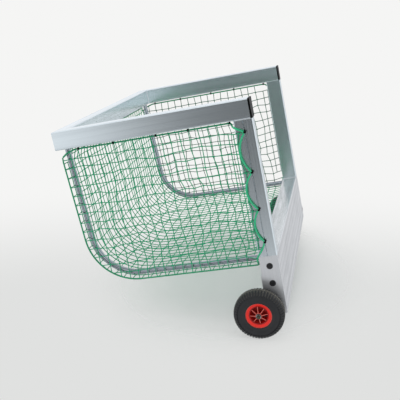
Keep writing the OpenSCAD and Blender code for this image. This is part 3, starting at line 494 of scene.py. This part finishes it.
# Plain bearings pressed into the hub: black nylon, dark with oil
nylon, tree, shader = finish_of("oiled_nylon_bearing")
where = node(tree, "TexCoord").outputs["Object"]
film = node(tree, "TexNoise", {"Vector": where, "Scale": 120.0}).outputs["Fac"]
tone = node(tree, "Mix", {"Factor": film, 6: linear("#3a1512"), 7: linear("#241110")},
            data_type="RGBA").outputs[2]
link(tree, shader, Base_Color=tone)
shader.inputs["Roughness"].default_value = 0.4
dress(nylon, "left_bushes", "right_bushes")


# ------------------------------------------------------------------ tyres
# Black rubber cured in a mould and stretched over the rim's flanges: a round carcass with a row of
# lugs over each shoulder and one along the middle. Pale dust stays between the lugs.
belly_at, belly_r, cavity_r = 0.094, 0.043, 0.0315  # the round section and the hollow in it
flange_r, bead_r = 0.0703, 0.0513       # the rim's edge, and where the bead sits on it
bead_near, bead_far = 0.013, 0.0248     # the bead's two faces, from the wheel's middle
crown_r, crown_bow = 0.1318, 0.26       # the top of the tread, and how flat it is across
arc_steps, hollow_steps = 21, 8
lug_count, lug_height = 52, 0.0045
steps_per_lug = 3                       # two of them are lug and one is groove
middle_row = 0.0065                     # half the width of the middle row of lugs
shoulder_from, shoulder_r = 0.0105, 0.1135


def tyre_section():
    """Radius and width round the section: bead, sidewall and crown, then the hollow inside."""
    half = [(bead_r, bead_near), (bead_r, bead_far), (flange_r, bead_far)]
    lowest = math.asin((flange_r - belly_at) / belly_r)
    for i in range(arc_steps):
        a = lowest + (math.pi / 2 - lowest) * i / arc_steps
        x = belly_r * math.cos(a)
        half.append((min(belly_at + belly_r * math.sin(a), crown_r - x * x / crown_bow), x))
    start = -math.acos(bead_near / cavity_r)
    inner = [(belly_at + cavity_r * math.sin(a), cavity_r * math.cos(a))
             for a in (start + (math.pi / 2 - start) * i / hollow_steps
                       for i in range(hollow_steps))]
    outside = half + [(crown_r, 0.0)] + [(r, -x) for r, x in reversed(half)]
    inside = inner + [(belly_at + cavity_r, 0.0)] + [(r, -x) for r, x in reversed(inner)]
    return outside + inside[::-1]


def tyre(name, replaced):
    """Spins the section round the axle and raises the lugs out of the crown and shoulders."""
    low, high = (Vector(corner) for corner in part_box(replaced))
    middle = (low + high) / 2
    section = tyre_section()
    bpy.ops.object.select_all(action="DESELECT")
    bpy.ops.mesh.primitive_circle_add(vertices=len(section), fill_type="NOTHING")
    piece = bpy.context.object
    piece.name = name
    for vertex, (r, x) in zip(piece.data.vertices, section):
        vertex.co = middle + Vector((x, 0, r))
    bpy.ops.object.mode_set(mode="EDIT")
    bpy.ops.mesh.select_all(action="SELECT")
    bpy.ops.mesh.spin(steps=lug_count * steps_per_lug, angle=2 * math.pi, center=middle,
                      axis=(1, 0, 0))
    bpy.ops.mesh.select_all(action="SELECT")
    bpy.ops.mesh.remove_doubles(threshold=0.00001)
    bpy.ops.mesh.normals_make_consistent(inside=False)
    bpy.ops.mesh.select_mode(type="FACE")
    bpy.ops.mesh.select_all(action="DESELECT")
    bpy.ops.object.mode_set(mode="OBJECT")
    for face in piece.data.polygons:
        at = face.center - middle
        r = math.hypot(at.y, at.z)
        in_hollow = math.hypot(r - belly_at, at.x) < belly_r * 0.84
        in_middle = abs(at.x) < middle_row
        on_shoulder = abs(at.x) > shoulder_from and r > shoulder_r
        if in_hollow or not (in_middle or on_shoulder):
            continue
        turn = math.atan2(at.z, at.y) / (2 * math.pi) % 1
        step = int(turn * lug_count * steps_per_lug + 0.001)
        shift = 2 if in_middle else 0 if at.x > 0 else 1
        face.select = (step + shift) % steps_per_lug != 0
    bpy.ops.object.mode_set(mode="EDIT")
    bpy.ops.mesh.extrude_region_shrink_fatten(TRANSFORM_OT_shrink_fatten={"value": lug_height})
    bpy.ops.object.mode_set(mode="OBJECT")
    for vertex in piece.data.vertices:      # the lugs fade into the sidewall
        vertex.co.x = middle.x + min(max(vertex.co.x - middle.x, -belly_r), belly_r)
    bpy.ops.object.shade_smooth_by_angle(angle=math.radians(32))
    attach(piece, replaced.replace("tyre", "wheel"))
    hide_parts(replaced)
    return piece


tyres = [tyre("left_lugged_tyre", "left_tyre"), tyre("right_lugged_tyre", "right_tyre")]
# Vulcanised rubber: nearly black and matt, with a grain of 1.5 mm, greyed by dust in 40 mm patches
rubber, tree, shader = finish_of("vulcanised_rubber")
where = node(tree, "TexCoord").outputs["Object"]
dust = node(tree, "TexNoise", {"Vector": where, "Scale": 26.0, "Detail": 5.0,
                               "Roughness": 0.65}).outputs["Fac"]
dusty = node(tree, "MapRange", {"Value": dust, "From Min": 0.45, "From Max": 0.8}).outputs[0]
tone = node(tree, "Mix", {"Factor": dusty, 6: linear("#131517"), 7: linear("#26282a")},
            data_type="RGBA").outputs[2]
aside, radius = from_axle(tree, where)
rise = node(tree, "Math", {0: radius, 1: belly_at}, operation="SUBTRACT").outputs[0]
off_belly = node(tree, "VectorMath", {0: node(tree, "CombineXYZ", {0: aside, 1: rise}).outputs[0]},
                 operation="LENGTH").outputs["Value"]
sunk = node(tree, "MapRange", {"Value": off_belly, "From Min": belly_r + 0.0006,
                               "From Max": belly_r - 0.0006}).outputs[0]
tread = node(tree, "MapRange", {"Value": radius, "From Min": 0.1145, "From Max": 0.1175}).outputs[0]
trapped = node(tree, "Math", {0: sunk, 1: tread}, operation="MULTIPLY").outputs[0]
trapped = node(tree, "Math", {0: trapped, 1: 0.6}, operation="MULTIPLY").outputs[0]
tone = node(tree, "Mix", {"Factor": trapped, 6: tone, 7: linear("#87847b")},
            data_type="RGBA").outputs[2]
skin = node(tree, "TexNoise", {"Vector": where, "Scale": 700.0, "Detail": 2.0}).outputs["Fac"]
relief = node(tree, "Bump", {"Height": skin, "Strength": 0.2, "Distance": 0.0004}).outputs[0]
gloss = node(tree, "MapRange", {"Value": dusty, "To Min": 0.5, "To Max": 0.72}).outputs[0]
link(tree, shader, Base_Color=tone, Roughness=gloss, Normal=relief)
for piece in tyres:
    piece.data.materials.append(rubber)
dress(rubber, "left_inner_tube", "right_inner_tube")


# ------------------------------------------------------------------ net
# Knotless netting, braided from 5 mm green polypropylene twine, its meshes pulled out to 51 mm. It
# hangs a little slack between its ropes, so they are never quite even.
groove_x = 0.810
front_y = -0.515                # the rope behind the posts
rear_y = 0.258                  # the rope behind the hoops' legs
rear_z = 0.110
rope_top = 1.030                # the rope along the crossbar
hoop_front_y, hoop_front_z = -0.523, 1.030
net_over_hoop = 0.031           # from the hoop's middle up to the net
fall_angle = math.radians(1.75)
bend_y, bend_z, bend_r = -0.013, 0.7743, 0.271
turn_angle = math.pi / 2 - fall_angle
roof_end_y = bend_y + bend_r * math.sin(fall_angle)
half_net = 0.8057
twine_d = 0.0048
knot_swell, knot_reach = 1.3, 0.008
row_pitch, row_count = 0.051, 20
column_count = 15
column_pitch = (rear_y - front_y) / column_count


def roof_z(y):
    """Height of the net over the hoops' top runs."""
    rise = net_over_hoop / math.cos(fall_angle)
    return hoop_front_z + rise - (y - hoop_front_y) * math.tan(fall_angle)


noise.seed_set(11)              # without a seed the net hangs differently on each run


def drift(place, scale, seed):
    """A smooth small random vector that depends only on the place."""
    return noise.noise_vector(Vector(place) * scale + Vector((seed, 2 * seed, 5 * seed)))


def twine(name, strands, replaced):
    """Braids one net panel out of its strands and lays it on the frame."""
    piece = strung(name, [strand for strand in strands if len(strand) > 1], twine_d, 1)
    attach(piece, "frame")
    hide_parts(replaced)
    return piece


def braid(knots):
    """One strand through its knots: it swells where it meets the crossing strand."""
    run = []
    for a, b in zip(knots, knots[1:]):
        run.append((a, knot_swell))
        if (b - a).length > 1.5 * knot_reach:
            step = min(0.25, knot_reach / (b - a).length)
            run += [(a.lerp(b, step), 1.0), (a.lerp(b, 1 - step), 1.0)]
    run.append((knots[-1], knot_swell))
    return run


base_hooks = [-0.4667, -0.2579, -0.0586, 0.1180]    # their Y on the base bars
bow_rise = [0.042, 0.046, 0.036]                    # of the rope between them
# Where the rope turns on its way from the post's foot out, down, back and up to the box: Y, X, Z
rope_corners = [(-0.515, 0.810, 0.115), (-0.496, 0.857, 0.106), (-0.477, 0.863, 0.050),
                (0.1285, 0.863, 0.050), (0.207, 0.857, 0.106), (0.258, 0.810, 0.110)]


def base_rope(y):
    """A place on the border rope below the side net."""
    y = min(max(y, front_y), rear_y)
    for (y0, x0, z0), (y1, x1, z1) in zip(rope_corners, rope_corners[1:]):
        if y <= y1:
            t = (y - y0) / (y1 - y0)
            x, z = x0 + (x1 - x0) * t, z0 + (z1 - z0) * t
            break
    for y0, y1, rise in zip(base_hooks, base_hooks[1:], bow_rise):
        if y0 < y < y1:
            z += rise * math.sin(math.pi * (y - y0) / (y1 - y0)) ** 0.8
    return Vector((x, y, z))


def side_top(y):
    """Height of the seam cord over the side net at a place along Y."""
    if y <= roof_end_y:
        return roof_z(y)
    return bend_z + math.sqrt(max(bend_r ** 2 - (y - bend_y) ** 2, 0))


def side_back(z):
    """How far back the side net reaches at a height."""
    if z <= bend_z:
        return rear_y
    reach = bend_r ** 2 - (z - bend_z) ** 2
    if reach > 0 and bend_y + math.sqrt(reach) > roof_end_y:
        return bend_y + math.sqrt(reach)
    return min(bend_y, hoop_front_y + (roof_z(hoop_front_y) - z) / math.tan(fall_angle))


corner_from, corner_rise, corner_in = 0.985, 0.07, 0.035    # the rope's rounded top corner


def side_front(z):
    """Where the side net's front edge runs: up the post, then off it at the rounded top corner."""
    return front_y + corner_in * min(max((z - corner_from) / corner_rise, 0.0), 1.0) ** 1.3


skirt_z = 0.170                 # below this the side net flares out over the base bar
lowest_row = 0.155
flare_from, flare_to = -0.483, 0.187
rim_x, rim_z = 0.861, 0.109     # where it bends over the bar's upper edge
seam_gap = 0.010                # no knot comes closer than this to the seam


def mirrored_to(side, place):
    return Vector((side * place.x, place.y, place.z))


def side_strands(side, seed):
    """Both ways through a side net's knots: columns up from the rope, then rows along the seam."""
    columns = [rear_y - i * column_pitch for i in range(column_count - 1, 0, -1)]

    def row(k, y):
        """Height of a row of knots: the rows run alongside the seam on the roof."""
        return roof_z(y) - k * row_pitch

    def settle(y, z):
        """A knot where the slack leaves it, up to 29 mm off and less near the ropes."""
        near_edge = min(y - side_front(z), side_back(z) - y, side_top(y) - z)
        loose = min(1.0, max(near_edge, 0.0) / 0.10)
        off = drift((y, z, side), 4.0, seed) * 0.015 + drift((y, z, side), 14.0, seed + 7) * 0.014
        return Vector((side * (groove_x + off.x * loose), y + off.y * loose, z + off.z * loose))

    def skirt(y):
        """Places of the strand below the plane part, from the rope up."""
        rope = base_rope(y)
        rim = Vector((rim_x, y, rim_z))
        shelf = Vector((groove_x, y, skirt_z))
        if y < flare_from or y > flare_to:
            return [rope]
        places = [rope]
        if rope.z < 0.085:
            places.append(rope.lerp(rim, 0.5))
        places += [rim, rim.lerp(shelf, 0.5)]
        return places

    strands = []
    for y in columns:
        low = [mirrored_to(side, place) for place in skirt(y)]
        top = side_top(y)
        knots = [settle(y, row(k, y)) for k in range(row_count, 0, -1)
                 if max(low[-1].z + 0.012, lowest_row) < row(k, y) < top - seam_gap]
        strands.append(braid(low + knots + [Vector((side * groove_x, y, top))]))
    for k in range(1, row_count + 1):
        inside = [y for y in columns if lowest_row < row(k, y) < side_top(y) - seam_gap]
        if not inside:
            continue
        front_z, back = row(k, front_y), row(k, inside[-1])
        knots = [Vector((side * groove_x, side_front(front_z), front_z))]
        knots += [settle(y, row(k, y)) for y in inside]
        knots.append(Vector((side * groove_x, side_back(back), back)))
        strands.append(braid(knots))
    skirts = [skirt(y) for y in columns]
    for part in (1, 2, 3):
        knots = [mirrored_to(side, places[-part]) for places in skirts if len(places) > part]
        if len(knots) > 1:
            strands.append(braid(knots))
    return strands


# Distances along the sheet over the hoops, from the rope on the crossbar: the flap ends, the roof
# ends, the bend ends, and the rope on the box is reached
flap_depth = 0.070
flap_y = front_y + flap_depth
flap_len = math.hypot(flap_depth, roof_z(flap_y) - rope_top)
roof_end = flap_len + (roof_end_y - flap_y) / math.cos(fall_angle)
bend_end = roof_end + bend_r * turn_angle
sheet_end = bend_end + bend_z - rear_z


def sheet_place(s):
    """Y and Z at a distance along the sheet."""
    if s < flap_len:
        t = s / flap_len
        return front_y + flap_depth * t, rope_top + (roof_z(flap_y) - rope_top) * t
    if s <= roof_end:
        s -= flap_len
        return flap_y + s * math.cos(fall_angle), roof_z(flap_y) - s * math.sin(fall_angle)
    if s < bend_end:
        a = turn_angle - (s - roof_end) / bend_r
        return bend_y + bend_r * math.cos(a), bend_z + bend_r * math.sin(a)
    return rear_y, max(bend_z - (s - bend_end), rear_z)


def sheet_knot(x, s):
    """A knot of the sheet: it sags a little between the hoops and drifts with the slack."""
    y, z = sheet_place(s)
    loose = min(1.0, (half_net - abs(x)) / 0.12, max(s, 0) / 0.12, (sheet_end - s) / 0.08)
    loose = max(loose, 0.0)
    off = drift((x, s, 0), 3.0, 3) * 0.020 + drift((x, s, 0), 11.0, 9) * 0.010
    sag = 0.012 * loose * (1 - (x / half_net) ** 2)
    return Vector((x + off.x * loose, y + (off.y * 0.5) * loose + sag, z + (off.z * 0.5) * loose))


# Rows: on the roof they meet the columns of the side nets at the seams
flap_rows = [0.0, flap_len / 2]
past_flap = [rear_y - i * column_pitch - flap_y for i in range(column_count - 1, 0, -1)]
roof_rows = [flap_len + y / math.cos(fall_angle) for y in past_flap if y > flap_len * 0.2]
roof_rows = [flap_len] + [s for s in roof_rows if s < roof_end - 0.012]
bend_rows = [roof_end + (bend_end - roof_end) * i / 8 for i in range(9)]
rear_rows = [bend_end + i * row_pitch for i in range(1, row_count)
             if i * row_pitch < sheet_end - bend_end - 0.02]


flap_half = 0.745               # half the width of the flap, which is narrower than the sheet


def sheet_strands(rows, last=None, first=None):
    """Strands both ways through some rows of knots, and on to `first` and `last` without a row."""
    across = round(2 * half_net / row_pitch)
    columns = [-half_net + 2 * half_net * i / across for i in range(across + 1)]

    def on_sheet(x, s):
        return s >= flap_len or abs(x) < flap_half

    ends = ([first] if first else []) + rows + ([last] if last else [])
    strands = [braid([sheet_knot(x, s) for s in ends if on_sheet(x, s)]) for x in columns]
    for s in rows:
        strands.append(braid([sheet_knot(x, s) for x in columns if on_sheet(x, s)]))
    return strands


nets = [
    twine("left_side_netting", side_strands(-1, 11), "left_side_net"),
    twine("right_side_netting", side_strands(1, 23), "right_side_net"),
    twine("roof_netting", sheet_strands(flap_rows + roof_rows, roof_end), "roof_net"),
    twine("bend_netting", sheet_strands(bend_rows), "bend_net"),
    twine("rear_netting", sheet_strands(rear_rows, sheet_end, bend_end), "rear_net"),
]


def green_twine(name, fresh, worn):
    """Polypropylene twine, faded by sun in patches of 110 mm, with a plait about 1 mm fine."""
    made, tree, shader = finish_of(name)
    where = node(tree, "TexCoord").outputs["Object"]
    fade = node(tree, "TexNoise", {"Vector": where, "Scale": 9.0, "Detail": 3.0}).outputs["Fac"]
    plait = node(tree, "TexNoise", {"Vector": where, "Scale": 900.0, "Detail": 1.0}).outputs["Fac"]
    tone = node(tree, "Mix", {"Factor": fade, 6: linear(fresh), 7: linear(worn)},
                data_type="RGBA").outputs[2]
    relief = node(tree, "Bump", {"Height": plait, "Strength": 0.5, "Distance": 0.0005}).outputs[0]
    link(tree, shader, Base_Color=tone, Normal=relief)
    shader.inputs["Roughness"].default_value = 0.5
    return made


# Two copies of one twine: the right side net gets the darker copy, which is painted shade
bright_twine = green_twine("braided_green_polypropylene", "#02a873", "#028f62")
shade_painted_twine = green_twine("painted_shade_green_polypropylene", "#0b6a4b", "#08573d")
for piece in nets:
    piece.data.materials.append(shade_painted_twine if piece.name.startswith("right") else bright_twine)


# ------------------------------------------------------------------ border rope and seam cords
# Border rope: 9 mm laid polypropylene, clipped in the hooks and drawn up in bows between the hooks
# on the base bars. The seam cords over the hoops are the same in 8 mm.
def laid(name, places, thickness, replaced):
    """A rope through some places, instead of the plain one in the frame."""
    piece = strung(name, [[(place, 1.0) for place in places]], thickness, 3)
    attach(piece, "frame")
    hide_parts(replaced)
    return piece


def softened(places):
    """Rounds the corners of an open run of points."""
    cut = [places[0]]
    for a, b in zip(places, places[1:]):
        cut += [a.lerp(b, 0.25), a.lerp(b, 0.75)]
    return cut + [places[-1]]


# Half of the rope's way: along the box, forward over the base bar in bows, up the post, round the
# top corner and along the crossbar to its middle
rope_d, cord_d = 0.009, 0.008
bow_steps = 9
half_way = [(0.0, rear_y, rear_z), (0.4, rear_y, rear_z), (groove_x, rear_y, rear_z),
            (0.830, 0.237, 0.112), (0.857, 0.202, 0.106), (0.862, 0.162, 0.072)]
for y0, y1 in reversed(list(zip(base_hooks, base_hooks[1:]))):
    half_way += [base_rope(y1 + (y0 - y1) * i / bow_steps) for i in range(bow_steps)]
half_way += [base_rope(base_hooks[0]), (0.862, -0.482, 0.080), (0.851, -0.497, 0.107),
             (0.825, -0.510, 0.114), (groove_x, front_y, 0.123)]
half_way += [(groove_x, front_y, z / 1000) for z in range(170, 990, 90)]
half_way += [(0.810, -0.513, 0.985), (0.810, -0.502, 1.025), (0.807, -0.484, 1.052),
             (0.794, -0.480, 1.060), (0.768, -0.484, 1.058), (0.744, -0.500, 1.046),
             (0.705, front_y, 1.033)]
half_way += [(x, front_y, rope_top) for x in (0.600, 0.450, 0.300, 0.150, 0.0)]
half = softened([Vector(place) for place in half_way])
loop = half + [mirrored_to(-1, place) for place in reversed(half)][1:]
rope = laid("border_rope_laid", loop, rope_d, "border_rope")
cord_step = 0.045               # between two points on a straight run
bend_steps = 18
tuck_in, tuck_back = 0.006, 0.036       # where a cord starts, off the rope's corner
seams = []
for side, name in ((-1, "left_seam_cord"), (1, "right_seam_cord")):
    y = front_y + tuck_back
    places = [Vector((side * (groove_x - tuck_in), y, roof_z(y)))]
    y = front_y + 0.06
    while y < bend_y:
        places.append(Vector((side * groove_x, y, roof_z(y))))
        y += cord_step
    for i in range(bend_steps + 1):
        a = turn_angle - i * turn_angle / bend_steps
        places.append(Vector((side * groove_x, bend_y + bend_r * math.cos(a),
                              bend_z + bend_r * math.sin(a))))
    z = bend_z - cord_step
    while z > rear_z + 0.03:
        places.append(Vector((side * groove_x, rear_y, z)))
        z -= cord_step
    places.append(Vector((side * groove_x, rear_y, rear_z + 0.004)))
    seams.append(laid(name + "_laid", places, cord_d, name))

# Laid rope: a soft shine, ridged by its strands every 18 mm. The bows are painted pale as lit, and
# the rest of the rope and the seam cords darker as painted shade
green_rope, tree, shader = finish_of("laid_green_polypropylene_rope")
where = node(tree, "TexCoord").outputs["Object"]
fade = node(tree, "TexNoise", {"Vector": where, "Scale": 12.0, "Detail": 3.0}).outputs["Fac"]
lay = node(tree, "TexWave", {"Vector": where, "Scale": 55.0, "Distortion": 1.0},
           bands_direction="DIAGONAL").outputs["Fac"]
lit_bow_tone = node(tree, "Mix", {"Factor": fade, 6: linear("#38cb90"), 7: linear("#1bad75")},
                data_type="RGBA").outputs[2]
painted_shade_tone = node(tree, "Mix", {"Factor": fade, 6: linear("#0fa06c"), 7: linear("#0a8459")},
              data_type="RGBA").outputs[2]
# Out past the grooves, on the bows, the rope gets the lit tone; everywhere else it gets painted
# shade
aside = node(tree, "SeparateXYZ", {0: where}).outputs[0]
aside = node(tree, "Math", {0: aside}, operation="ABSOLUTE").outputs[0]
in_bows = node(tree, "MapRange", {"Value": aside, "From Min": groove_x + 0.015,
                                  "From Max": groove_x + 0.040}).outputs[0]
tone = node(tree, "Mix", {"Factor": in_bows, 6: painted_shade_tone, 7: lit_bow_tone}, data_type="RGBA").outputs[2]
relief = node(tree, "Bump", {"Height": lay, "Strength": 0.6, "Distance": 0.001}).outputs[0]
link(tree, shader, Base_Color=tone, Normal=relief)
shader.inputs["Roughness"].default_value = 0.45
for piece in [rope] + seams:
    piece.data.materials.append(green_rope)
